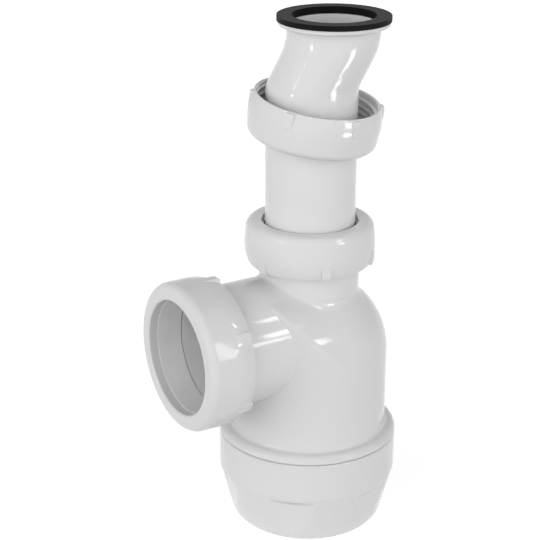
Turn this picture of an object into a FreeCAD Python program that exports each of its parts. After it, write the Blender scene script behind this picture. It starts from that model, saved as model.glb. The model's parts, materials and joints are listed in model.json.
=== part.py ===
import FreeCAD, Part
import Sketcher
import math
import os

doc = FreeCAD.newDocument("bottle_trap")
sheet = doc.addObject("Spreadsheet::Sheet", "Sizes")

# Every size of the trap in millimetres, with the angles in degrees.
# Heights build up from the underside of the cup, outlet distances from the trap's axis.
table = {
    # inlet tube
    "tubeRadius": 16.0,
    "tubeWall": 1.8,
    "tubeInsertion": 71.4,
    "inletReach": 75.1,
    "crankAngle": 26.0,
    "crankOffset": 7.14,
    "crankTowards": -33.46,
    "lowerBend": 9.0,
    "upperBend": 24.0,
    "crankLand": 0.9,
    "flangeLip": 3.1,
    "flangeThickness": 1.0,
    "flangeStep": 2.5,
    "flangeSeatStep": 1.15,
    "flangeSeatDepth": 0.8,
    # washer on the flange
    "washerProud": 0.4,
    "washerStep": 0.15,
    "washerThickness": 1.84,
    "washerSlack": 0.25,
    "washerLipShort": 0.2,
    # cup
    "cupHeight": 34.45,
    "cupStep": 0.05,
    "cupWall": 2.7,
    "cupNarrowing": 9.9,
    "cupCorner": 5.8,
    "cupTaper": 14.7,
    "cupRimWall": 1.35,
    "rebateDepth": 1.85,
    "gripCount": 6,
    "gripDepth": 1.7,
    "gripLedge": 1.25,
    "gripSlope": 9.6,
    "gripTurn": 47.5,
    "cupSealSlack": 0.15,
    # flask
    "bodyRadius": 28.65,
    "bodyWall": 2.6,
    "bodyRise": 31.9,
    "collarProud": 3.9,
    "collarGap": 0.3,
    "collarEdge": 0.45,
    "collarArc": 2.8,
    "collarHollow": 1.4,
    "ridgeRound": 1.4,
    "ridgeStart": 2.5,
    "ridgeEnd": 26.5,
    "spigotStep": 0.55,
    "spigotGap": 2.44,
    # neck and the dip tube below it
    "slideGap": 0.25,
    "neckWall": 1.53,
    "neckGap": 5.83,
    "neckHeadLength": 9.2,
    "neckFlare": 2.65,
    "neckRecessDepth": 4.9,
    "dipGap": 6.3,
    # branch
    "outletRise": 7.92,
    "socketRadius": 20.25,
    "socketDepth": 16.3,
    "socketStep": 1.85,
    "socketLeadDepth": 6.3,
    "socketLeadStep": 0.75,
    "socketFlare": 1.7,
    "branchWall": 1.55,
    "branchReach": 10.65,
    "branchHeadLength": 8.3,
    # threaded mouths and the room for their threads
    "mouthWall": 0.9,
    "headRun": 1.2,
    "threadDepth": 0.95,
    "cupThreadDepth": 1.2,
    "threadGap": 0.2,
    "edgeBreak": 0.4,
    # packing of the neck and of the outlet
    "sealGap": 0.06,
    "sealTipWall": 0.34,
    "wedgeGap": 0.25,
    "ringThickness": 1.45,
    "neckSealFlange": 1.1,
    "neckTipGap": 0.8,
    "neckRingGap": 0.4,
    "outSealFlange": 3.4,
    "outTipGap": 0.4,
    "outRingGap": 0.25,
    # nuts
    "lipThickness": 2.2,
    "nutRound": 3.0,
    "nutWaist": 6.0,
    "nutDraft": 8.0,
    "nutHeight": 15.1,
    "nutWall": 2.3,
    "nutRimWall": 1.0,
    "nutHoleGap": 1.07,
    "neckNutTurn": 11.5,
    "inletNutDrop": 15.53,
    "inletNutCatch": 0.06,
    "inletNutTilt": 9.4,
    "inletNutTowards": -58.3,
    "inletNutTurn": 27.0,
    "outNutHeight": 17.2,
    "outNutWall": 2.6,
    "outNutRound": 2.7,
    "outNutWaist": 7.5,
    "outNutDraft": 1.5,
    "outNutRimWall": 1.0,
    "outNutHoleGap": 0.15,
    # lugs round the rim of a nut
    "lugCount": 6,
    "lugWidth": 3.1,
    "lugProud": 0.12,
    "lugInset": 0.25,
    "lugNose": 0.3,
    "lugNoseRise": 1.2,
    "lugLength": 5.6,
    "lugTop": 8.4,
    "lugSink": 0.7,
}

# How far a cutting shape runs past the face that it opens, and a solid into the one it joins.
beyond = 1.0
overlap = 2.0

# How near to a line the points of an edge have to be for the edge to lie on it.
closeness = 0.02


class Size:
    """A length held as its number and as the formula that gives it."""

    def __init__(self, value, text):
        self.value = value
        self.text = text

    def join(self, other, sign, value):
        text = other.text if isinstance(other, Size) else repr(other)
        return Size(value, "(" + self.text + sign + text + ")")

    def __add__(self, other):
        return self.join(other, " + ", self.value + number(other))

    def __sub__(self, other):
        return self.join(other, " - ", self.value - number(other))

    def __mul__(self, other):
        return self.join(other, " * ", self.value * number(other))

    def __truediv__(self, other):
        return self.join(other, " / ", self.value / number(other))

    def __neg__(self):
        return Size(-self.value, "(0 - " + self.text + ")")


def number(thing):
    return thing.value if isinstance(thing, Size) else float(thing)


def root(size):
    return Size(math.sqrt(size.value), "sqrt(" + size.text + ")")


def sine(size):
    return Size(math.sin(math.radians(size.value)), "sin(" + size.text + ")")


def cosine(size):
    return Size(math.cos(math.radians(size.value)), "cos(" + size.text + ")")


class Sizes:
    pass


s = Sizes()
for row, (name, value) in enumerate(table.items(), start=1):
    cell = "B" + str(row)
    sheet.set("A" + str(row), name)
    sheet.set(cell, str(value))
    sheet.setAlias(cell, name)
    setattr(s, name, Size(float(value), "Sizes." + name))
doc.recompute()

# Sizes that follow from others: first the radii, from the tube outwards.
tubeBore = s.tubeRadius - s.tubeWall
neckBore = s.tubeRadius + s.slideGap
neckRadius = neckBore + s.neckWall
neckRecess = neckBore + s.neckFlare
neckHeadRadius = neckRecess + s.mouthWall
nutBore = neckHeadRadius + s.threadDepth + s.threadGap
nutHole = s.tubeRadius + s.nutHoleGap
branchBore = s.socketRadius - s.socketStep
branchRadius = s.socketRadius + s.branchWall
socketRecess = s.socketRadius + s.socketFlare
branchHeadRadius = socketRecess + s.mouthWall
outNutBore = branchHeadRadius + s.threadDepth + s.threadGap
hollowRadius = s.bodyRadius - s.bodyWall
collarRadius = s.bodyRadius + s.collarProud
spigotRadius = s.bodyRadius - s.spigotStep
cupBore = spigotRadius + s.cupThreadDepth + s.threadGap
cupRadius = collarRadius - s.cupStep
cupBaseRadius = cupRadius - s.cupNarrowing
rebateRadius = cupRadius - s.cupRimWall

# The cup: where its rounded corner, taper and straight band meet, outside and inside.
acrossTaper = cosine(s.cupTaper)
alongTaper = sine(s.cupTaper)
outerX = cupBaseRadius + s.cupCorner * acrossTaper
outerZ = s.cupCorner - s.cupCorner * alongTaper
bandZ = outerZ + (cupRadius - outerX) * acrossTaper / alongTaper
innerRound = s.cupCorner - s.cupWall
innerX = cupBaseRadius + innerRound * acrossTaper
innerZ = s.cupCorner - innerRound * alongTaper
boreZ = innerZ + (cupBore - innerX) * acrossTaper / alongTaper
rebateFloor = s.cupHeight - s.rebateDepth

# Heights from the cup up to the mouth of the inlet.
spigotEnd = boreZ + s.spigotGap
collarUnder = s.cupHeight + s.collarGap
collarBand = collarUnder + s.collarEdge
domeHeight = collarUnder + s.bodyRise
outletHeight = domeHeight + s.outletRise
neckHeadStart = outletHeight + branchRadius + s.neckGap
neckHeadTop = neckHeadStart + s.neckHeadLength
neckSealTop = neckHeadTop + s.neckSealFlange
neckNutOpen = neckSealTop + s.ringThickness + s.lipThickness - s.nutHeight
dipEnd = s.cupWall + s.dipGap
tubeEnd = neckHeadTop - s.tubeInsertion
tubeTop = neckHeadTop + s.inletReach

# Distances along the branch.
branchHeadStart = s.bodyRadius + s.branchReach
branchEnd = branchHeadStart + s.branchHeadLength
socketLead = branchEnd - s.socketLeadDepth
socketStop = socketLead - s.socketDepth
outSealTop = branchEnd + s.outSealFlange
outNutOpen = outSealTop + s.ringThickness + s.lipThickness - s.outNutHeight

# The crank of the tube: two bends with a straight between them, close under the flange.
leanAcross = sine(s.crankAngle)
leanAlong = cosine(s.crankAngle)
lowerX = s.lowerBend * (-leanAlong + 1)
upperX = s.upperBend * (-leanAlong + 1)
straight = (s.crankOffset - lowerX - upperX) / leanAcross
flangeRadius = s.tubeRadius + s.flangeLip
flangeRound = s.flangeLip - s.flangeStep
flangeBase = tubeTop - s.flangeThickness
crankTop = flangeBase - flangeRound - s.crankLand
straightEnd = crankTop - s.upperBend * leanAcross
bendEnd = straightEnd - straight * leanAlong
crankStart = bendEnd - s.lowerBend * leanAcross
flangeSeat = tubeBore + s.flangeSeatStep
inletNutFace = crankStart - s.inletNutDrop
halfLip = s.lipThickness / 2
inletHole = (s.tubeRadius + s.inletNutCatch + halfLip * sine(s.inletNutTilt)) / cosine(s.inletNutTilt)


def outline(sketch, corners, arcs=None, closed=True):
    """Outline through the corners; arcs gives radius and centre for the side after a corner."""
    arcs = arcs or {}
    count = len(corners) if closed else len(corners) - 1
    points = [FreeCAD.Vector(number(x), number(y), 0) for x, y in corners]
    for i in range(count):
        a, b = points[i], points[(i + 1) % len(points)]
        if i not in arcs:
            sketch.addGeometry(Part.LineSegment(a, b), False)
            continue
        radius, centre = arcs[i]
        c = FreeCAD.Vector(number(centre[0]), number(centre[1]), 0)
        start = math.atan2(a.y - c.y, a.x - c.x)
        end = math.atan2(b.y - c.y, b.x - c.x)
        turn = (a.x - c.x) * (b.y - c.y) - (a.y - c.y) * (b.x - c.x)
        if turn < 0:
            start, end = end, start
        circle = Part.Circle(c, FreeCAD.Vector(0, 0, 1), number(radius))
        sketch.addGeometry(Part.ArcOfCircle(circle, start, end), False)
    ends = []
    for i in range(count):
        first = sketch.Geometry[i].StartPoint.distanceToPoint(points[i]) < 1e-4
        ends.append((1, 2) if first else (2, 1))
    for i in range(count if closed else count - 1):
        j = (i + 1) % count
        sketch.addConstraint(Sketcher.Constraint("Coincident", i, ends[i][1], j, ends[j][0]))
    for i, (x, y) in enumerate(corners):
        side, end = (i, ends[i][0]) if i < count else (count - 1, ends[count - 1][1])
        place(sketch, "DistanceX", -2, side, end, x)
        place(sketch, "DistanceY", -1, side, end, y)
    for i, (radius, centre) in arcs.items():
        k = sketch.addConstraint(Sketcher.Constraint("Radius", i, number(radius)))
        bind(sketch, k, radius)


def place(sketch, kind, axis, side, end, size):
    if not isinstance(size, Size) and float(size) == 0.0:
        sketch.addConstraint(Sketcher.Constraint("PointOnObject", side, end, axis))
        return
    k = sketch.addConstraint(Sketcher.Constraint(kind, -1, 1, side, end, number(size)))
    bind(sketch, k, size)


def bind(sketch, k, size):
    if isinstance(size, Size):
        sketch.setExpression("Constraints[" + str(k) + "]", size.text)


def circles(sketch, radii):
    for i, radius in enumerate(radii):
        circle = Part.Circle(FreeCAD.Vector(0, 0, 0), FreeCAD.Vector(0, 0, 1), number(radius))
        sketch.addGeometry(circle, False)
        sketch.addConstraint(Sketcher.Constraint("Coincident", i, 3, -1, 1))
        k = sketch.addConstraint(Sketcher.Constraint("Radius", i, number(radius)))
        bind(sketch, k, radius)


def piece(name):
    body = doc.addObject("PartDesign::Body", name)
    body.Label = name
    return body


def plane(body, role):
    for part in body.Origin.OriginFeatures:
        if part.Role == role:
            return part
    raise ValueError(role)


def flat(body, name, role="XZ_Plane"):
    sketch = body.newObject("Sketcher::SketchObject", name)
    sketch.AttachmentSupport = (plane(body, role), [""])
    sketch.MapMode = "FlatFace"
    return sketch


def turned(body, name, corners, arcs=None):
    sketch = flat(body, name + "_profile")
    outline(sketch, corners, arcs)
    feature = body.newObject("PartDesign::Revolution", name)
    feature.Profile = sketch
    feature.ReferenceAxis = (sketch, ["V_Axis"])
    feature.Angle = 360.0


def ring(body, name, feature, count):
    """Copies of the feature round the body's upright axis; the count is the name of a size."""
    pattern = body.newObject("PartDesign::PolarPattern", name)
    pattern.Originals = [feature]
    pattern.Axis = (plane(body, "Z_Axis"), [""])
    pattern.Angle = 360.0
    pattern.Occurrences = int(table[count])
    pattern.setExpression("Occurrences", "Sizes." + count)
    body.Tip = pattern


def washer(name, inner, outer, thickness):
    """Flat ring standing on height 0."""
    body = piece(name)
    turned(body, name + "_disc", [(inner, 0), (outer, 0), (outer, thickness), (inner, thickness)])
    return body


def spindle(sketch, index, x):
    """Upright construction line at x that the sketch turns round."""
    sketch.addGeometry(
        Part.LineSegment(FreeCAD.Vector(number(x), 0, 0), FreeCAD.Vector(number(x), overlap, 0)), True
    )
    sketch.addConstraint(Sketcher.Constraint("Vertical", index))
    sketch.addConstraint(Sketcher.Constraint("PointOnObject", index, 1, -1))
    sketch.addConstraint(Sketcher.Constraint("DistanceY", index, 1, index, 2, overlap))
    place(sketch, "DistanceX", -2, index, 1, x)


def moved(thing, x=None, y=None, z=None):
    for key, size in (("x", x), ("y", y), ("z", z)):
        if size is not None:
            thing.setExpression("Placement.Base." + key, size.text)


def aimed(thing, axis, size):
    thing.Placement = FreeCAD.Placement(
        thing.Placement.Base, FreeCAD.Rotation(FreeCAD.Vector(*axis), number(size))
    )
    if isinstance(size, Size):
        thing.setExpression("Placement.Rotation.Angle", size.text)


# Cup: rounded base, tapered grip part with flats, straight band, rebate for the ring in the rim.
cup = piece("cup")
corner = (cupBaseRadius, s.cupCorner)
turned(
    cup,
    "cup_shell",
    [
        (0, 0),
        (cupBaseRadius, 0),
        (outerX, outerZ),
        (cupRadius, bandZ),
        (cupRadius, s.cupHeight - s.edgeBreak),
        (cupRadius - s.edgeBreak, s.cupHeight),
        (rebateRadius, s.cupHeight),
        (rebateRadius, rebateFloor),
        (cupBore, rebateFloor),
        (cupBore, boreZ),
        (innerX, innerZ),
        (cupBaseRadius, s.cupWall),
        (0, s.cupWall),
    ],
    {1: (s.cupCorner, corner), 10: (innerRound, corner)},
)
grip = flat(cup, "grip_profile")
gripTop = bandZ - s.gripLedge
gripFoot = s.cupCorner - beyond
gripRadius = cupRadius - s.gripDepth
gripLean = (gripTop - gripFoot) * sine(s.gripSlope) / cosine(s.gripSlope)
outline(
    grip,
    [
        (gripRadius, gripTop),
        (cupRadius + beyond, gripTop),
        (cupRadius + beyond, gripFoot),
        (gripRadius - gripLean, gripFoot),
    ],
)
flatCut = cup.newObject("PartDesign::Pocket", "grip_flat")
flatCut.Profile = grip
flatCut.Midplane = True
flatCut.Length = number(cupRadius)
flatCut.setExpression("Length", cupRadius.text)
ring(cup, "grip_flats", flatCut, "gripCount")
aimed(cup, (0, 0, 1), s.gripTurn)

# Flat ring between the rim of the cup and the collar of the flask.
cupSeal = washer("cup_seal", cupBore - s.threadGap, rebateRadius - s.cupSealSlack, collarUnder - rebateFloor)
moved(cupSeal, z=rebateFloor)


def nut(name, bore, hole, wall, rimWall, height, waist, crown, draft):
    """Union nut with its open end at height 0: barrel widest at the waist, inner lip, lugs at the rim."""
    body = piece(name)
    radius = bore + wall
    swell = wall - rimWall
    below = (waist * waist + swell * swell) / (swell * 2)
    above = (height - crown - waist) / sine(draft) + crown
    edgeX = radius - above * (-cosine(draft) + 1)
    edgeZ = waist + above * sine(draft)
    crownX = edgeX - crown * cosine(draft)
    turned(
        body,
        name + "_barrel",
        [
            (bore + s.edgeBreak, 0),
            (bore + rimWall, 0),
            (radius, waist),
            (edgeX, edgeZ),
            (crownX, height),
            (hole + s.edgeBreak, height),
            (hole, height - s.edgeBreak),
            (hole, height - s.lipThickness),
            (bore, height - s.lipThickness),
            (bore, s.edgeBreak),
        ],
        {
            1: (below, (radius - below, waist)),
            2: (above, (radius - above, waist)),
            3: (crown, (crownX, height - crown)),
        },
    )
    side = flat(body, name + "_lug_profile")
    crest = radius + s.lugProud
    foot = bore + rimWall / 2
    outline(
        side,
        [
            (foot, s.lugInset),
            (crest - s.lugNose, s.lugInset),
            (crest, s.lugNoseRise),
            (crest, s.lugLength),
            (radius - s.lugSink, s.lugTop),
            (foot, s.lugTop),
        ],
    )
    lug = body.newObject("PartDesign::Pad", name + "_lug")
    lug.Profile = side
    lug.Midplane = True
    lug.Length = table["lugWidth"]
    lug.setExpression("Length", "Sizes.lugWidth")
    ring(body, name + "_lugs", lug, "lugCount")
    return body


def small_nut(name, hole):
    return nut(name, nutBore, hole, s.nutWall, s.nutRimWall, s.nutHeight, s.nutWaist, s.nutRound, s.nutDraft)


neckNut = small_nut("neck_nut", nutHole)
aimed(neckNut, (0, 0, 1), s.neckNutTurn)
moved(neckNut, z=neckNutOpen)

outNutHole = s.socketRadius + s.outNutHoleGap
outletNut = nut(
    "outlet_nut", outNutBore, outNutHole, s.outNutWall, s.outNutRimWall, s.outNutHeight,
    s.outNutWaist, s.outNutRound, s.outNutDraft,
)
outwards = FreeCAD.Placement(FreeCAD.Vector(0, 0, 0), FreeCAD.Rotation(FreeCAD.Vector(0, 1, 0), -90))
outletNut.Placement = outwards
moved(outletNut, x=-outNutOpen, z=outletHeight)

# The inlet nut hangs on the tube with its open end up, tilted until its lip catches on the tube.
inletNut = small_nut("inlet_nut", inletHole)
towards = math.radians(table["inletNutTowards"])
tiltAxis = FreeCAD.Vector(-math.sin(towards), math.cos(towards), 0)
tilt = FreeCAD.Rotation(tiltAxis, table["inletNutTilt"])
upside = FreeCAD.Rotation(FreeCAD.Vector(1, 0, 0), 180)
spin = FreeCAD.Rotation(FreeCAD.Vector(0, 0, 1), table["inletNutTurn"])
inletNut.Placement = FreeCAD.Placement(FreeCAD.Vector(0, 0, 0), tilt.multiply(upside).multiply(spin))
reach = (s.nutHeight - halfLip) * sine(s.inletNutTilt)
moved(
    inletNut,
    x=reach * cosine(s.inletNutTowards),
    y=reach * sine(s.inletNutTowards),
    z=inletNutFace + (s.nutHeight - halfLip) * cosine(s.inletNutTilt),
)


def wedge(name, inner, outer, recess, depth, flange):
    """Rubber wedge with the mouth that it seals at height 0 and its flange above."""
    body = piece(name)
    turned(
        body,
        name + "_ring",
        [
            (inner, -depth),
            (inner + s.sealTipWall, -depth),
            (recess - s.wedgeGap, 0),
            (outer, 0),
            (outer, flange),
            (inner, flange),
        ],
    )
    return body


# Packing of the neck: a wedge of rubber in the mouth of the neck and a hard ring on it.
neckSeal = wedge(
    "neck_seal",
    s.tubeRadius + s.sealGap,
    neckHeadRadius,
    neckRecess,
    s.neckRecessDepth - s.neckTipGap,
    s.neckSealFlange,
)
moved(neckSeal, z=neckHeadTop)
neckRing = washer("neck_slip_ring", s.tubeRadius + s.neckRingGap, neckHeadRadius, s.ringThickness)
moved(neckRing, z=neckSealTop)

# Packing of the outlet, laid the same way along the branch.
outletSeal = wedge(
    "outlet_seal",
    s.socketRadius + s.sealGap,
    branchHeadRadius,
    socketRecess,
    s.socketLeadDepth - s.outTipGap,
    s.outSealFlange,
)
outletSeal.Placement = outwards
moved(outletSeal, x=-branchEnd, z=outletHeight)
outletRing = washer(
    "outlet_slip_ring", s.socketRadius + s.outRingGap, branchHeadRadius, s.ringThickness
)
outletRing.Placement = outwards
moved(outletRing, x=-outSealTop, z=outletHeight)

# Inlet tube: one long straight leg, a crank and a short flanged mouth.
tube = piece("inlet_tube")


def tube_section(name, z):
    """Ring-shaped section across the tube at height z."""
    sketch = flat(tube, name, "XY_Plane")
    circles(sketch, [s.tubeRadius, tubeBore])
    sketch.AttachmentOffset = FreeCAD.Placement(FreeCAD.Vector(0, 0, number(z)), FreeCAD.Rotation())
    sketch.setExpression("AttachmentOffset.Base.z", z.text)
    return sketch


leg = tube.newObject("PartDesign::Pad", "lower_leg")
leg.Profile = tube_section("lower_section", tubeEnd)
leg.Length = number(crankStart - tubeEnd)
leg.setExpression("Length", (crankStart - tubeEnd).text)
leg.Refine = False

# The section keeps level as it follows the crank, as in a moulding that opens along the tube.
path = flat(tube, "crank_path")
upperStart = s.crankOffset - upperX
line = [(0, crankStart), (lowerX, bendEnd), (upperStart, straightEnd), (s.crankOffset, crankTop)]
pivots = {0: (s.lowerBend, (s.lowerBend, crankStart)), 2: (s.upperBend, (s.crankOffset - s.upperBend, crankTop))}
outline(path, line, pivots, False)
crank = tube.newObject("PartDesign::AdditivePipe", "crank")
crank.Profile = tube_section("crank_section", crankStart)
crank.Spine = (path, ["Edge1", "Edge2", "Edge3"])
crank.Mode = "Fixed"
crank.Refine = False
mouth = flat(tube, "flange_profile")
outline(
    mouth,
    [
        (s.crankOffset + tubeBore, tubeTop),
        (s.crankOffset + tubeBore, crankTop),
        (s.crankOffset + s.tubeRadius, crankTop),
        (s.crankOffset + s.tubeRadius, flangeBase - flangeRound),
        (s.crankOffset + flangeRadius - flangeRound, flangeBase - flangeRound),
        (s.crankOffset + flangeRadius, flangeBase),
        (s.crankOffset + flangeRadius, tubeTop),
    ],
    {4: (flangeRound, (s.crankOffset + flangeRadius - flangeRound, flangeBase))},
)
spindle(mouth, 7, s.crankOffset)
flange = tube.newObject("PartDesign::Revolution", "flange")
flange.Profile = mouth
flange.ReferenceAxis = (mouth, ["Axis0"])
flange.Angle = 360.0
seat = flat(tube, "flange_seat_section", "XY_Plane")
circles(seat, [flangeSeat])
seat.AttachmentOffset = FreeCAD.Placement(
    FreeCAD.Vector(number(s.crankOffset), 0, number(tubeTop)), FreeCAD.Rotation()
)
seat.setExpression("AttachmentOffset.Base.x", s.crankOffset.text)
seat.setExpression("AttachmentOffset.Base.z", tubeTop.text)
seatCut = tube.newObject("PartDesign::Pocket", "flange_seat")
seatCut.Profile = seat
seatCut.Length = table["flangeSeatDepth"]
seatCut.setExpression("Length", "Sizes.flangeSeatDepth")
tube.Tip = seatCut
aimed(tube, (0, 0, 1), s.crankTowards)

# Washer on the flange, with a thin lip that keeps it centred in the mouth.
gasket = piece("inlet_gasket")
lipDepth = s.flangeSeatDepth - s.washerLipShort
turned(
    gasket,
    "washer_ring",
    [
        (tubeBore + s.washerStep, -lipDepth),
        (flangeSeat - s.washerSlack, -lipDepth),
        (flangeSeat - s.washerSlack, 0),
        (flangeRadius + s.washerProud, 0),
        (flangeRadius + s.washerProud, s.washerThickness),
        (tubeBore + s.washerStep, s.washerThickness),
    ],
)
moved(
    gasket,
    x=s.crankOffset * cosine(s.crankTowards),
    y=s.crankOffset * sine(s.crankTowards),
    z=tubeTop,
)


# Flask. The side away from the outlet is domed; on the outlet side two equal cylinders cross,
# and their groin is the ridge that runs from the branch into the round wall.
def spun(name, corners, arcs=None, axis=(0, 0, 1), base=None):
    sketch = doc.addObject("Sketcher::SketchObject", name + "_profile")
    sketch.Placement = FreeCAD.Placement(
        FreeCAD.Vector(0, 0, 0), FreeCAD.Rotation(FreeCAD.Vector(1, 0, 0), 90)
    )
    outline(sketch, corners, arcs)
    solid = doc.addObject("Part::Revolution", name)
    solid.Source = sketch
    solid.Axis = FreeCAD.Vector(*axis)
    solid.Base = FreeCAD.Vector(0, 0, 0)
    if base is not None:
        solid.setExpression("Base.z", base.text)
    solid.Angle = 360.0
    solid.Solid = True
    return solid


def hood(name, radius):
    """Quarter ball away from the outlet and a barrel vault towards it, both of the given radius."""
    ball = doc.addObject("Part::Sphere", name + "_ball")
    ball.setExpression("Radius", radius.text)
    ball.Angle1 = 0.0
    ball.Angle2 = 90.0
    ball.Angle3 = 180.0
    aimed(ball, (0, 0, 1), -90.0)
    moved(ball, z=domeHeight)
    across = doc.addObject("Part::Cylinder", name + "_barrel")
    across.setExpression("Radius", radius.text)
    across.setExpression("Height", (radius + beyond).text)
    aimed(across, (0, 1, 0), -90.0)
    moved(across, z=domeHeight)
    upright = doc.addObject("Part::Cylinder", name + "_upright")
    upright.setExpression("Radius", radius.text)
    upright.setExpression("Height", (radius + beyond).text)
    moved(upright, z=domeHeight)
    vault = doc.addObject("Part::MultiCommon", name + "_vault")
    vault.Shapes = [across, upright]
    return [ball, vault]


def rounded(name, base, miss, radius):
    """The base with a fillet along a line; miss gives the distance of a point from that line."""
    doc.recompute()
    edges = []
    for i, edge in enumerate(base.Shape.Edges, start=1):
        spots = edge.discretize(5)
        if edge.Length > number(s.bodyWall) / 2 and max(miss(spot) for spot in spots) < closeness:
            edges.append("Edge" + str(i))
    body = doc.addObject("PartDesign::Body", name)
    body.BaseFeature = base
    rounding = body.newObject("PartDesign::Fillet", name + "_rounding")
    rounding.Base = (body.Group[0], edges)
    rounding.Radius = table[radius]
    rounding.setExpression("Radius", "Sizes." + radius)
    return body


def eased(vault):
    """The vault with its two ridges rounded as far as the branch leaves them in sight."""
    slab = doc.addObject("Part::Box", "ridge_slab")
    slab.setExpression("Length", (s.ridgeEnd - s.ridgeStart).text)
    slab.setExpression("Width", (s.bodyRadius * 4).text)
    slab.setExpression("Height", (s.bodyRadius * 2).text)
    moved(slab, -s.ridgeEnd, -(s.bodyRadius * 2), domeHeight - beyond)
    crisp = doc.addObject("Part::MultiCommon", "ridge_crisp")
    crisp.Shapes = [vault, slab]
    rest = doc.addObject("Part::Cut", "ridge_rest")
    rest.Base = vault
    rest.Tool = slab
    ridge = rounded("ridge", crisp, lambda spot: abs(spot.x + spot.z - number(domeHeight)), "ridgeRound")
    return [rest, ridge]


# The collar swells out of the wall: a hollow curve against the wall, then a full one over the rim.
sweep = s.collarArc + s.collarHollow
rise = root(s.collarProud * (sweep * 2 - s.collarProud))
collarTop = collarBand + rise
turnX = collarRadius - s.collarArc + (sweep - s.collarProud) * s.collarArc / sweep
turnZ = collarBand + rise * s.collarArc / sweep
stem = spun(
    "stem",
    [
        (0, spigotEnd),
        (spigotRadius - s.edgeBreak, spigotEnd),
        (spigotRadius, spigotEnd + s.edgeBreak),
        (spigotRadius, collarUnder),
        (collarRadius - s.edgeBreak, collarUnder),
        (collarRadius, collarUnder + s.edgeBreak),
        (collarRadius, collarBand),
        (turnX, turnZ),
        (s.bodyRadius, collarTop),
        (s.bodyRadius, domeHeight),
        (0, domeHeight),
    ],
    {
        6: (s.collarArc, (collarRadius - s.collarArc, collarBand)),
        7: (s.collarHollow, (s.bodyRadius + s.collarHollow, collarTop)),
    },
)
neck = spun(
    "neck",
    [
        (0, domeHeight + overlap),
        (neckRadius, domeHeight + overlap),
        (neckRadius, neckHeadStart),
        (neckHeadRadius, neckHeadStart + s.headRun),
        (neckHeadRadius, neckHeadTop - s.edgeBreak),
        (neckHeadRadius - s.edgeBreak, neckHeadTop),
        (0, neckHeadTop),
    ],
)
branchAxis = (1, 0, 0)
branch = spun(
    "branch",
    [
        (-neckBore / 3, outletHeight),
        (-neckBore / 3, outletHeight + branchRadius),
        (-branchHeadStart, outletHeight + branchRadius),
        (-(branchHeadStart + s.headRun), outletHeight + branchHeadRadius),
        (-(branchEnd - s.edgeBreak), outletHeight + branchHeadRadius),
        (-branchEnd, outletHeight + branchHeadRadius - s.edgeBreak),
        (-branchEnd, outletHeight),
    ],
    axis=branchAxis,
    base=outletHeight,
)
ball, vault = hood("hood", s.bodyRadius)
outside = doc.addObject("Part::MultiFuse", "flask_outside")
outside.Shapes = [stem, ball] + eased(vault) + [neck, branch]


well = spun(
    "well",
    [
        (0, spigotEnd - beyond),
        (hollowRadius, spigotEnd - beyond),
        (hollowRadius, domeHeight),
        (0, domeHeight),
    ],
)
way = spun(
    "way",
    [
        (-neckBore / 2, outletHeight),
        (-neckBore / 2, outletHeight + branchBore),
        (-socketStop, outletHeight + branchBore),
        (-socketStop, outletHeight + s.socketRadius),
        (-socketLead, outletHeight + s.socketRadius),
        (-socketLead, outletHeight + s.socketRadius + s.socketLeadStep),
        (-branchEnd, outletHeight + socketRecess),
        (-(branchEnd + beyond), outletHeight + socketRecess),
        (-(branchEnd + beyond), outletHeight),
    ],
    axis=branchAxis,
    base=outletHeight,
)
hollow = doc.addObject("Part::MultiFuse", "flask_hollow")
hollow.Shapes = [well] + hood("inner", hollowRadius) + [way]
shell = doc.addObject("Part::Cut", "flask_shell")
shell.Base = outside
shell.Tool = hollow

# The dip tube hangs in the flask as one wall with the neck and is bored through with it.
dip = spun(
    "dip",
    [
        (0, dipEnd),
        (neckRadius, dipEnd),
        (neckRadius, neckHeadStart - beyond),
        (0, neckHeadStart - beyond),
    ],
)
whole = doc.addObject("Part::MultiFuse", "flask_whole")
whole.Shapes = [shell, dip]
bore = spun(
    "bore",
    [
        (0, dipEnd - beyond),
        (neckBore, dipEnd - beyond),
        (neckBore, neckHeadTop - s.neckRecessDepth),
        (neckRecess, neckHeadTop),
        (neckRecess, neckHeadTop + beyond),
        (0, neckHeadTop + beyond),
    ],
)
flask = doc.addObject("Part::Cut", "trap_body")
flask.Base = whole
flask.Tool = bore
flask.Refine = True
flask.Label = "trap_body"

doc.recompute()

pieces = [
    flask, cup, cupSeal, neckSeal, neckRing, neckNut, outletSeal, outletRing, outletNut,
    tube, inletNut, gasket,
]
for thing in doc.Objects:
    if "Invalid" in thing.State or "Error" in thing.State:
        raise RuntimeError(thing.Name + " did not compute: " + str(thing.State))
for thing in pieces:
    shape = thing.Shape
    if shape.isNull() or not shape.isValid():
        raise RuntimeError(thing.Label + " has no valid shape")
    if len(shape.Solids) != 1:
        raise RuntimeError(thing.Label + " is not one solid")

os.makedirs("parts", exist_ok=True)
for thing in pieces:
    thing.Shape.exportStep("parts/" + thing.Label + ".step")
    box = thing.Shape.BoundBox
    print(thing.Label, "%.2f %.2f %.2f" % (box.XLength, box.YLength, box.ZLength))
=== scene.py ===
import json
import math

import bmesh
import bpy
from mathutils import Matrix, Vector


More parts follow.
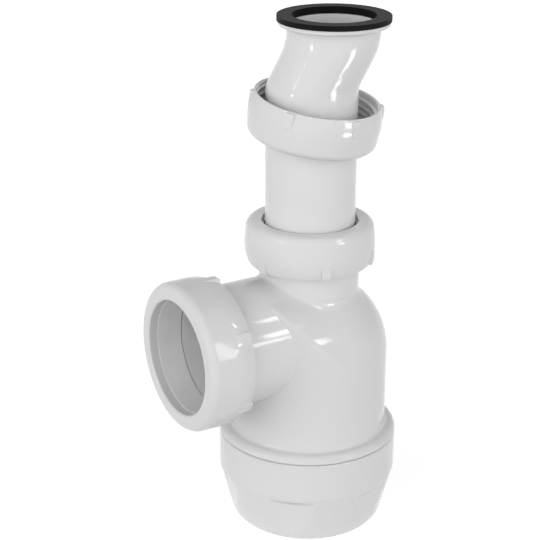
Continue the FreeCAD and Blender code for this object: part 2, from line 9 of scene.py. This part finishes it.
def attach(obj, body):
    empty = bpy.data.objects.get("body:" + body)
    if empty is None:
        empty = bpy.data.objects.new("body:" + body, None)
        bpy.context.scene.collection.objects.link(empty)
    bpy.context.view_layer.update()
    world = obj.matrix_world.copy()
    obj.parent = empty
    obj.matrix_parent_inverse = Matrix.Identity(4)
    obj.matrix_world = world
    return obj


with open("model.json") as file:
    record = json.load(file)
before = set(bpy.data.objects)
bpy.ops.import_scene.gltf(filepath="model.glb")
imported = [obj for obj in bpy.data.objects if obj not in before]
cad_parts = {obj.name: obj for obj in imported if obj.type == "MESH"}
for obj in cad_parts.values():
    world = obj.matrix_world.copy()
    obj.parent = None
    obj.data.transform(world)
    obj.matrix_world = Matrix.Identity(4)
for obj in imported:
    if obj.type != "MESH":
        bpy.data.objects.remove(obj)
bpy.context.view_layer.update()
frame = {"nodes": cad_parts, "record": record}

nodes = frame["nodes"]
print("frame loaded:", len(nodes), "nodes")

mm = 0.001
fullTurn = 2 * math.pi

# Camera, placed where the photographer stood
shot = {
    "place": (-0.2693, -0.4075, 0.2853),
    "right": (0.8507, -0.5258, 0.0041),
    "up": (0.1866, 0.3092, 0.9326),
    "lens": 97.47,
    "sensor": 36.0,
    "nearest": 0.01,
    "furthest": 20.0,
}


def makeCamera():
    data = bpy.data.cameras.new("shot")
    data.lens = shot["lens"]
    data.sensor_width = shot["sensor"]
    data.clip_start = shot["nearest"]
    data.clip_end = shot["furthest"]
    camera = bpy.data.objects.new("shot", data)
    bpy.context.collection.objects.link(camera)
    right = Vector(shot["right"]).normalized()
    back = right.cross(Vector(shot["up"])).normalized()
    up = back.cross(right)
    turn = Matrix((right, up, back)).transposed().to_4x4()
    camera.matrix_world = Matrix.Translation(shot["place"]) @ turn
    bpy.context.scene.camera = camera


makeCamera()


# Gives a shader socket a value, or a link where the thing is a wire
def plug(tree, thing, socket):
    if isinstance(thing, Wire):
        tree.links.new(thing.socket, socket)
    else:
        socket.default_value = thing


# Adds a shader node: its settings first, then the values or links of its sockets
def addNode(tree, kind, settings=None, sockets=None):
    node = tree.nodes.new(kind)
    for key, value in (settings or {}).items():
        setattr(node, key, value)
    for key, value in (sockets or {}).items():
        plug(tree, value, node.inputs[key])
    return node


# An output socket that can be added, subtracted, multiplied and divided like a number
class Wire:
    def __init__(self, tree, socket):
        self.tree = tree
        self.socket = socket

    def combine(self, operation, *terms):
        settings = {"operation": operation}
        node = addNode(self.tree, "ShaderNodeMath", settings, dict(enumerate(terms)))
        return Wire(self.tree, node.outputs[0])

    def maths(self, operation, *others):
        return self.combine(operation, self, *others)

    def __add__(self, other):
        return self.combine("ADD", self, other)

    def __radd__(self, other):
        return self.combine("ADD", other, self)

    def __sub__(self, other):
        return self.combine("SUBTRACT", self, other)

    def __rsub__(self, other):
        return self.combine("SUBTRACT", other, self)

    def __mul__(self, other):
        return self.combine("MULTIPLY", self, other)

    def __rmul__(self, other):
        return self.combine("MULTIPLY", other, self)

    def __truediv__(self, other):
        return self.combine("DIVIDE", self, other)

    def __rtruediv__(self, other):
        return self.combine("DIVIDE", other, self)


# The three parts of a vector
def split(vector):
    node = addNode(vector.tree, "ShaderNodeSeparateXYZ", sockets={0: vector})
    return [Wire(vector.tree, out) for out in node.outputs]


# 1 for a ray that looks at the background, straight or by way of gloss or glass
def lookingRay(tree):
    path = addNode(tree, "ShaderNodeLightPath")
    camera = Wire(tree, path.outputs["Is Camera Ray"])
    glossy = Wire(tree, path.outputs["Is Glossy Ray"])
    through = Wire(tree, path.outputs["Is Transmission Ray"])
    return camera.maths("MAXIMUM", glossy).maths("MAXIMUM", through)


# One material with its shader. Spaces in a socket's name are underscores here.
class Finish:
    def __init__(self, name):
        self.material = bpy.data.materials.new(name)
        self.material.use_nodes = True
        self.tree = self.material.node_tree
        self.shader = self.tree.nodes["Principled BSDF"]

    def node(self, kind, settings=None, out=0, **values):
        sockets = {key.replace("_", " "): value for key, value in values.items()}
        made = addNode(self.tree, kind, settings, sockets)
        return Wire(self.tree, made.outputs[out])

    def noise(self, place, scale, detail, roughness):
        return self.node("ShaderNodeTexNoise", Vector=place, Scale=scale, Detail=detail,
                         Roughness=roughness)

    def blend(self, factor, first, second):
        sockets = {0: factor, 6: first, 7: second}
        made = addNode(self.tree, "ShaderNodeMix", {"data_type": "RGBA"}, sockets)
        return Wire(self.tree, made.outputs[2])

    def set(self, **values):
        for key, value in values.items():
            plug(self.tree, value, self.shader.inputs[key.replace("_", " ")])


# A colour, made darker or lighter where asked, with its alpha of 1
def shade(colour, share=1.0, lift=0.0):
    return (*(min(part * share + lift, 1.0) for part in colour), 1.0)


# Studio: a pale floor in a white room
studio = {
    "floorColour": (0.80, 0.80, 0.80),
    "floorRoughness": 0.9,
    "floorSpecular": 0.1,
    "floorGlow": 0.70,      # keeps the floor pale where it is looked at
    "floorSize": 3.0,
    "floorDrop": 0.0002,    # how far the floor lies below the cup
    "roomFocus": 3.0,       # how narrow the bright parts of the room are
}

# Where the room is bright: azimuth, elevation and level
roomLights = {
    "left": (-174.0, 2.0, 3.15),
    "right": (-70.0, -2.0, 2.80),
    "front": (-122.0, 0.0, 0.25),
    "back": (58.0, 0.0, 0.80),
}

# Lamps seen only as highlights: azimuth, distance, lowest point, height, width and radiance
lamps = {
    "rightLamp": (-69.6, 0.51, 0.140, 0.270, 0.040, 4.8),
    "lowLamp": (-74.0, 0.524, 0.101, 0.014, 0.022, 8.0),
    "crankTopLamp": (-72.3, 0.065, 0.151, 0.011, 0.013, 9.0),
    "crankSideLamp": (-73.0, 0.104, 0.1150, 0.0165, 0.022, 9.0),
    "crankLowLamp": (-77.0, 0.058, 0.1375, 0.0045, 0.012, 9.0),
    "branchLamp": (-66.0, 0.356, 0.148, 0.034, 0.028, 8.0),
    "leftLamp": (-174.0, 0.51, 0.127, 0.018, 0.060, 22.0),
    "leftTallLamp": (-174.0, 0.51, 0.278, 0.220, 0.050, 5.0),
    "nutLamp": (-177.2, 0.514, 0.227, 0.018, 0.026, 9.0),
}


# The room lights the part, and is plain white wherever it is looked at
def makeWorld():
    world = bpy.data.worlds.new("studio")
    bpy.context.scene.world = world
    world.use_nodes = True
    tree = world.node_tree
    tree.nodes.clear()
    towards = addNode(tree, "ShaderNodeTexCoord")
    x, y, z = split(Wire(tree, towards.outputs["Generated"]))
    level = 0.0
    for azimuth, elevation, share in roomLights.values():
        turn, rise = math.radians(azimuth), math.radians(elevation)
        across = math.cos(rise)
        facing = x * (math.cos(turn) * across) + y * (math.sin(turn) * across) + z * math.sin(rise)
        level = level + facing.maths("MAXIMUM", 0.0).maths("POWER", studio["roomFocus"]) * share
    soft = addNode(tree, "ShaderNodeBackground", sockets={"Strength": level})
    plain = {"Color": (1.0, 1.0, 1.0, 1.0), "Strength": 1.0}
    white = addNode(tree, "ShaderNodeBackground", sockets=plain)
    sources = {0: lookingRay(tree), 1: Wire(tree, soft.outputs[0]), 2: Wire(tree, white.outputs[0])}
    mix = addNode(tree, "ShaderNodeMixShader", sockets=sources)
    addNode(tree, "ShaderNodeOutputWorld", sockets={0: Wire(tree, mix.outputs[0])})


def makeFloor():
    paint = Finish("floorPaint")
    paint.set(Base_Color=shade(studio["floorColour"]), Roughness=studio["floorRoughness"],
              Specular_IOR_Level=studio["floorSpecular"], Emission_Color=(1.0, 1.0, 1.0, 1.0),
              Emission_Strength=lookingRay(paint.tree) * studio["floorGlow"])
    mesh = bpy.data.meshes.new("floor")
    work = bmesh.new()
    bmesh.ops.create_grid(work, x_segments=1, y_segments=1, size=studio["floorSize"])
    work.to_mesh(mesh)
    work.free()
    mesh.materials.append(paint.material)
    ground = bpy.data.objects.new("floor", mesh)
    ground.location.z = -studio["floorDrop"]
    bpy.context.collection.objects.link(ground)


def addLamp(name, azimuth, distance, low, height, width, radiance):
    data = bpy.data.lights.new(name, "AREA")
    data.shape = "RECTANGLE"
    data.size = width
    data.size_y = height
    data.energy = radiance * width * height * math.pi
    lamp = bpy.data.objects.new(name, data)
    angle = math.radians(azimuth)
    away = Vector((math.cos(angle), math.sin(angle), 0))
    lamp.location = away * distance + Vector((0, 0, low + height / 2))
    lamp.rotation_mode = "QUATERNION"
    lamp.rotation_quaternion = away.to_track_quat("Z", "Y")
    lamp.visible_camera = False
    lamp.visible_diffuse = False
    bpy.context.collection.objects.link(lamp)


makeWorld()
makeFloor()
for name, sizes in lamps.items():
    addLamp(name, *sizes)
print("camera and studio made")


# Painted shade: the cup's colour is darkened under the ledge at the top of each grip flat, lengths
# in mm
gripPaintedShade = {
    "count": 6,
    "turn": 47.5,       # degrees round to the middle of the first flat
    "top": 19.43,       # height of the ledge
    "depth": 30.8,      # from the axis to the flat, at the ledge
    "slope": 9.6,       # degrees that the flat leans in on its way down
    "halfWidth": 8.5,
    "fade": 2.0,        # how far down the shade reaches
    "above": 0.1,       # how far up into the corner
    "level": 1.6,       # level on the flat itself, and its fall for each mm off the flat
    "fall": 6.0,
    "darkness": 0.25,   # share of the colour that is left in the corner
}


# Mask of the painted shade under each grip ledge: 1 where the colour is darkened most
def gripPaintedShadeMask(place):
    form = gripPaintedShade
    x, y, z = (part * (1 / mm) for part in split(place))
    half = math.pi / form["count"]
    angle = (y.maths("ARCTAN2", x) - math.radians(form["turn"])).maths("WRAP", half, -half)
    radius = (x * x + y * y).maths("SQRT")
    below = form["top"] - z
    depth = form["depth"] - below * math.tan(math.radians(form["slope"]))
    off = (radius * angle.maths("COSINE") - depth).maths("ABSOLUTE")
    onFlat = (form["level"] - off * form["fall"]).maths("MINIMUM", 1.0).maths("MAXIMUM", 0.0)
    aside = (radius * angle.maths("SINE")).maths("ABSOLUTE")
    sideways = (1 - aside / form["halfWidth"]).maths("MAXIMUM", 0.0)
    downwards = (1 - below / form["fade"]).maths("MAXIMUM", 0.0)
    return onFlat * sideways * (downwards * below.maths("GREATER_THAN", -form["above"]))


# Glossy moulded plastic: faint clouds in the colour, a soft waviness and a fine grain.
# Each noise has its scale, detail and roughness.
plasticLook = {
    "clouds": (35.0, 3.0, 0.5),
    "cloudShade": 0.96,
    "grain": (900.0, 2.0, 0.5),
    "grainRoughness": 0.03,
    "waves": (120.0, 2.0, 0.5),
    "waveStrength": 0.035,
    "waveHeight": 0.0004,
    "ior": 1.49,
}


def mouldedPlastic(name, colour, roughness, paintedShadeMask=None):
    look = plasticLook
    finish = Finish(name)
    place = finish.node("ShaderNodeTexCoord", out="Object")
    clouds = finish.noise(place, *look["clouds"])
    paint = finish.blend(clouds, shade(colour, look["cloudShade"]), shade(colour))
    # Painted shade: where a mask is given, the colour is darkened there, down to the share left in
    # the corner
    if paintedShadeMask:
        paint = finish.blend(paintedShadeMask(place), paint, shade(colour, gripPaintedShade["darkness"]))
    grain = finish.noise(place, *look["grain"])
    waves = finish.noise(place, *look["waves"])
    bump = finish.node("ShaderNodeBump", Strength=look["waveStrength"],
                       Distance=look["waveHeight"], Height=waves)
    finish.set(Base_Color=paint, Roughness=roughness + grain * look["grainRoughness"],
               Normal=bump, IOR=look["ior"])
    return finish.material


# Satin rubber: paler dust in the colour and a fine grain
rubberLook = {
    "dust": (60.0, 4.0, 0.6),
    "dustShade": 1.5,
    "dustLift": 0.004,
    "grain": (1800.0, 2.0, 0.6),
    "grainRoughness": 0.1,
    "grainStrength": 0.25,
    "grainHeight": 0.0001,
    "ior": 1.5,
}


def satinRubber(name, colour, roughness, specular):
    look = rubberLook
    finish = Finish(name)
    place = finish.node("ShaderNodeTexCoord", out="Object")
    dust = finish.noise(place, *look["dust"])
    pale = shade(colour, look["dustShade"], look["dustLift"])
    grain = finish.noise(place, *look["grain"])
    bump = finish.node("ShaderNodeBump", Strength=look["grainStrength"],
                       Distance=look["grainHeight"], Height=grain)
    finish.set(Base_Color=finish.blend(dust, shade(colour), pale),
               Roughness=roughness + grain * look["grainRoughness"],
               Specular_IOR_Level=specular, Normal=bump, IOR=look["ior"])
    return finish.material


whitePlastic = {"colour": (0.80, 0.80, 0.80), "roughness": 0.085}
finishes = {
    "white_plastic": mouldedPlastic("glossWhitePlastic", **whitePlastic),
    "slip_plastic": mouldedPlastic("slipRingPlastic", (0.78, 0.78, 0.78), 0.35),
    "black_rubber": satinRubber("blackRubber", (0.004, 0.004, 0.005), 0.50, 0.08),
    "grey_rubber": satinRubber("greyRubber", (0.72, 0.72, 0.72), 0.5, 0.4),
}
# The cup's plastic has painted shade in its colour under the ledges of its grip flats
ownFinish = {"cup": mouldedPlastic("cupPlasticPaintedShade", **whitePlastic, paintedShadeMask=gripPaintedShadeMask)}


def dressNodes():
    slots = {part["node"]: part["material_slot"] for part in frame["record"]["subparts"]}
    for name, thing in nodes.items():
        material = ownFinish.get(name, finishes[slots[name]])
        for slot in thing.material_slots:
            slot.material = material


dressNodes()
print("finishes made")


# Threads: right-handed ridges, lengths in mm. The two ridges of a joint share their origin,
# and the one inside the nut or the cup lies half a pitch on.
fineThread = {"pitch": 2.309, "foot": 1.35, "crest": 0.45}
coarseThread = {"pitch": 4.0, "foot": 2.2, "crest": 0.9}
tilt = math.radians(9.4)      # how far the loose inlet nut hangs over, and to which side
lean = math.radians(-58.3)
neckAxis = {"origin": (0, 0, 0), "along": (0, 0, 1), "side": (1, 0, 0)}
outletAxis = {"origin": (0, 0, 74.57), "along": (-1, 0, 0), "side": (0, 1, 0)}
inletAxis = {
    "origin": (0, 0, 146.21),
    "along": (math.sin(tilt) * math.cos(lean), math.sin(tilt) * math.sin(lean), math.cos(tilt)),
    "side": (-math.sin(lean), math.cos(lean), 0),
}

# Axis, thread, wall radius, crest radius, first and last height, share of a pitch, body
threads = {
    "inletNutThread": (inletAxis, fineThread, 20.95, 20.0, 3.0, 12.6, 0.0, "inlet_union"),
    "neckNutThread": (neckAxis, fineThread, 20.95, 20.0, 102.3, 110.6, 0.5, "neck_union"),
    "neckThread": (neckAxis, fineThread, 19.8, 20.75, 104.2, 110.6, 0.0, "flask"),
    "outletNutThread": (outletAxis, fineThread, 24.0, 23.05, 38.7, 46.9, 0.5, "outlet_union"),
    "branchThread": (outletAxis, fineThread, 22.85, 23.8, 41.2, 46.6, 0.0, "flask"),
    "cupThread": (neckAxis, coarseThread, 29.5, 28.35, 21.4, 30.6, 0.5, "bottom_cup"),
    "spigotThread": (neckAxis, coarseThread, 28.1, 29.1, 24.0, 31.4, 0.0, "flask"),
}

ridge = {
    "steps": 72,         # to a turn
    "fade": 24,          # steps over which each end thins out
    "tip": 0.04,         # share of the height that is left at the very end
    "sink": 0.12,        # how deep the foot is set into the wall
    "shoulder": 0.88,    # share of the height where the crest's rounding starts
    "flare": 0.04,       # how much the ridge is wider than its crest there, each side
    "rounding": 0.12,    # how much narrower the top is, each side
}


# Section of a ridge: share of its height, None where it is sunk, and distance along the axis
def ridgeSection(form):
    foot, crest = form["foot"] / 2, form["crest"] / 2
    flank = [
        (None, foot), (0.0, foot),
        (ridge["shoulder"], crest + ridge["flare"]), (1.0, crest - ridge["rounding"]),
    ]
    return [(rise, -height) for rise, height in flank] + flank[::-1]


# Closed outline of a ring's section, from its radius and height in mm
def drawSection(work, points):
    corners = [work.verts.new((radius * mm, 0, height * mm)) for radius, height in points]
    edges = [work.edges.new(pair) for pair in zip(corners, corners[1:] + corners[:1])]
    return corners, edges


def finishPiece(work, name, body):
    bmesh.ops.recalc_face_normals(work, faces=work.faces)
    for face in work.faces:
        face.smooth = True
    mesh = bpy.data.meshes.new(name)
    work.to_mesh(mesh)
    work.free()
    mesh.materials.append(finishes["white_plastic"])
    piece = bpy.data.objects.new(name, mesh)
    bpy.context.collection.objects.link(piece)
    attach(piece, body)


# A ridge is wound around Z by a screw spin, thinned out at both ends, then set on its axis
def makeThread(name, axis, form, wall, crest, first, last, share, body):
    pitch = form["pitch"]
    steps, fade, tip = ridge["steps"], ridge["fade"], ridge["tip"]
    start = math.floor((first - share * pitch) / pitch * steps)
    count = round((last - first) / pitch * steps)
    sunk = wall + math.copysign(ridge["sink"], wall - crest)
    points = [(sunk if rise is None else wall + (crest - wall) * rise, height)
              for rise, height in ridgeSection(form)]
    work = bmesh.new()
    section, edges = drawSection(work, points)
    work.faces.new(section)
    bmesh.ops.spin(work, geom=edges, cent=(0, 0, 0), axis=(0, 0, 1),
                   dvec=(0, 0, pitch / steps * mm), angle=fullTurn * count / steps,
                   steps=count, use_merge=False, use_duplicate=False)
    ends = [edge for edge in work.edges if edge.is_boundary]
    bmesh.ops.holes_fill(work, edges=ends, sides=0)
    work.verts.index_update()
    for vert in work.verts:
        step = vert.index // len(section)
        grow = math.sin(min(1.0, step / fade, (count - step) / fade) * math.pi / 2)
        radius = math.hypot(vert.co.x, vert.co.y)
        height = radius - wall * mm
        if height * (crest - wall) > 0:
            scale = (wall * mm + height * (tip + (1 - tip) * grow)) / radius
            vert.co.x *= scale
            vert.co.y *= scale
    along = Vector(axis["along"]).normalized()
    side = Vector(axis["side"]).normalized()
    ontoAxis = Matrix((side, along.cross(side), along)).transposed().to_4x4()
    lift = Matrix.Translation((0, 0, (start / steps + share) * pitch * mm))
    turn = Matrix.Rotation(start * fullTurn / steps, 4, "Z")
    place = Matrix.Translation(Vector(axis["origin"]) * mm) @ ontoAxis @ lift @ turn
    bmesh.ops.transform(work, matrix=place, verts=work.verts)
    finishPiece(work, name, body)


for name, sizes in threads.items():
    makeThread(name, *sizes)
print("threads made")


# Hollow rounding where the neck rises out of the flask, lengths in mm
neckFoot = {
    "neckRadius": 17.78,
    "flaskRadius": 28.65,
    "domeHeight": 66.65,
    "branchRadius": 21.8,
    "size": 1.8,
    "bow": 0.05,          # how far the curve's control point stands off both walls
    "sink": 0.02,         # how far the curve's ends are set into them
    "inside": 0.2,        # how far the hidden side is set into the neck
    "outerDepth": 0.25,   # how far it is set into the flask, at its rim and at the neck
    "innerDepth": 0.3,
    "curveSteps": 8,
    "roundSteps": 144,
}


# Top of the flask at a place: round at the back, a vault and the branch in front
def flaskHeight(x, y):
    form = neckFoot
    square = form["flaskRadius"] ** 2 - y * y - (x * x if x > 0 else 0)
    height = form["domeHeight"] + math.sqrt(max(square, 0))
    if x < 0:
        branch = math.sqrt(max(form["branchRadius"] ** 2 - y * y, 0))
        height = max(height, outletAxis["origin"][2] + branch)
    return height


# The section is spun around the neck, and each point is then raised to the flask below it
def makeNeckFoot():
    form = neckFoot
    near, size, bow, sink = form["neckRadius"], form["size"], form["bow"], form["sink"]
    points = []
    for i in range(form["curveSteps"] + 1):
        u = i / form["curveSteps"]
        a, b, c = (1 - u) ** 2, 2 * u * (1 - u), u * u
        points.append((near - sink * a + bow * b + size * c, size * a + bow * b - sink * c))
    points.append((near + size, -form["outerDepth"]))
    points.append((near - form["inside"], -form["innerDepth"]))
    work = bmesh.new()
    edges = drawSection(work, points)[1]
    bmesh.ops.spin(work, geom=edges, cent=(0, 0, 0), axis=(0, 0, 1), angle=fullTurn,
                   steps=form["roundSteps"], use_merge=True)
    for vert in work.verts:
        vert.co.z += flaskHeight(vert.co.x / mm, vert.co.y / mm) * mm
    finishPiece(work, "neckFoot", "flask")


makeNeckFoot()
print("neck foot made")

bpy.context.scene.view_settings.view_transform = "Standard"
